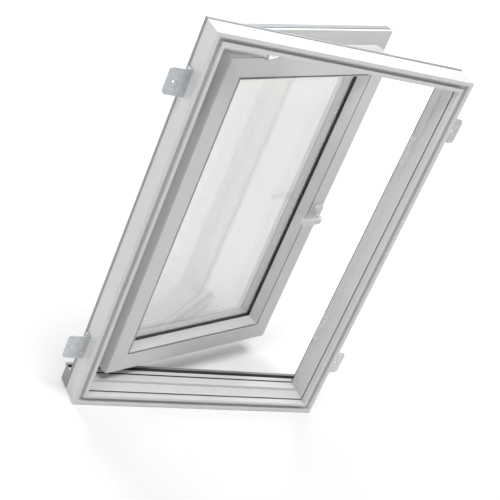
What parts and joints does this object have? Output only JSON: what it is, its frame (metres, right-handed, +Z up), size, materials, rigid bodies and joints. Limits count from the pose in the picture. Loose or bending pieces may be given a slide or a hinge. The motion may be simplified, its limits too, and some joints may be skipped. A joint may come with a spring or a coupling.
{
  "type": "roof window",
  "caption": "Side-hung roof window: white plastic frame and double-glazed sash with black seals, grey aluminium covers, lever handle, cam lock, stay and fixing brackets.",
  "frame": {"origin": "centre of the rectangle of bracket holes, in the plane of the roof battens", "axes": "+X right as seen from the room, +Y outward through the roof, +Z up the slope along the jambs"},
  "size_m": [0.764, 0.3248, 0.983],
  "materials": {
    "white_plastic": "satin extruded plastic",
    "black_rubber": "extruded seal",
    "glass": "clear float glass",
    "spacer": "warm-edge bar",
    "sealant": "matt sealant",
    "grey_rubber": "extruded seal",
    "block_plastic": "matt",
    "cover_aluminium": "grey coated",
    "track_aluminium": "mill finish",
    "hardware_steel": "zinc plated",
    "zinc_steel": "galvanised sheet",
    "handle_white": "satin white",
    "shoe_plastic": "moulded"
  },
  "bodies": {
    "frame": {"frame_head": "white_plastic", "frame_sill": "white_plastic", "frame_jamb_left": "white_plastic", "frame_jamb_right": "white_plastic", "frame_seal": "black_rubber", "sill_line_seal": "black_rubber", "sill_bulb_seal": "black_rubber", "head_cover": "cover_aluminium", "sill_cover": "cover_aluminium", "jamb_cover_left": "cover_aluminium", "jamb_cover_right": "cover_aluminium", "bracket_lower_left": "zinc_steel", "bracket_lower_right": "zinc_steel", "bracket_upper_left": "zinc_steel", "bracket_upper_right": "zinc_steel", "frame_screws": "hardware_steel", "lower_hinge_frame_leaf": "hardware_steel", "upper_hinge_frame_leaf": "hardware_steel", "lower_hinge_pin": "hardware_steel", "upper_hinge_pin": "hardware_steel", "lower_keep": "handle_white", "upper_keep": "handle_white", "keep_screws": "handle_white", "stay_mount": "hardware_steel"},
    "sash": {"sash_top_rail": "white_plastic", "sash_bottom_rail": "white_plastic", "sash_hinge_stile": "white_plastic", "sash_lock_stile": "white_plastic", "top_bead": "white_plastic", "bottom_bead": "white_plastic", "hinge_bead": "white_plastic", "lock_bead": "white_plastic", "inner_glazing_seal": "black_rubber", "outer_glazing_seal": "grey_rubber", "inner_pane": "glass", "outer_pane": "glass", "spacer_bar": "spacer", "edge_sealant": "sealant", "setting_blocks": "block_plastic", "sash_top_cover": "cover_aluminium", "sash_bottom_cover": "cover_aluminium", "sash_hinge_cover": "cover_aluminium", "sash_lock_cover": "cover_aluminium", "lower_hinge_sash_leaf": "hardware_steel", "upper_hinge_sash_leaf": "hardware_steel", "sash_screws": "hardware_steel", "stay_track": "track_aluminium", "faceplate": "hardware_steel", "gear_case": "hardware_steel", "handle_base": "handle_white"},
    "handle": {"handle_lever": "handle_white", "handle_spindle": "hardware_steel", "pinion": "hardware_steel"},
    "lock_bar": {"drive_bar": "hardware_steel"},
    "stay_arm": {"stay_arm": "hardware_steel"},
    "stay_shoe": {"stay_shoe": "shoe_plastic"}
  },
  "joints": [
    {"name": "sash_hinge", "type": "hinge", "parent": "frame", "child": "sash", "pos_m": [-0.312, 0.05, 0], "axis": [0, 0, 1], "range_deg": [-20.5, 39.5]},
    {"name": "handle_turn", "type": "hinge", "parent": "sash", "child": "handle", "pos_m": [0.24156, 0.18704, -0.028], "axis": [0.3502, -0.9367, 0], "range_deg": [0, 90]},
    {"name": "lock_slide", "type": "slide", "parent": "sash", "child": "lock_bar", "axis": [0, 0, 1], "range_m": [0, 0.0178]},
    {"name": "stay_pivot", "type": "hinge", "parent": "frame", "child": "stay_arm", "pos_m": [-0.16501, 0.02009, 0.44], "axis": [0, 0, 1], "range_deg": [-41, 79]},
    {"name": "shoe_pivot", "type": "hinge", "parent": "stay_arm", "child": "stay_shoe", "pos_m": [-0.03993, 0.10289, 0.44], "axis": [0, 0, 1], "range_deg": [-39.5, 20.5]}
  ],
  "couplings": [
    {"joint": "lock_slide", "follows": "handle_turn", "m_per_rad": 0.01125},
    {"joint": "stay_pivot", "follows": "sash_hinge", "ratio": 2},
    {"joint": "shoe_pivot", "follows": "sash_hinge", "ratio": -1}
  ]
}
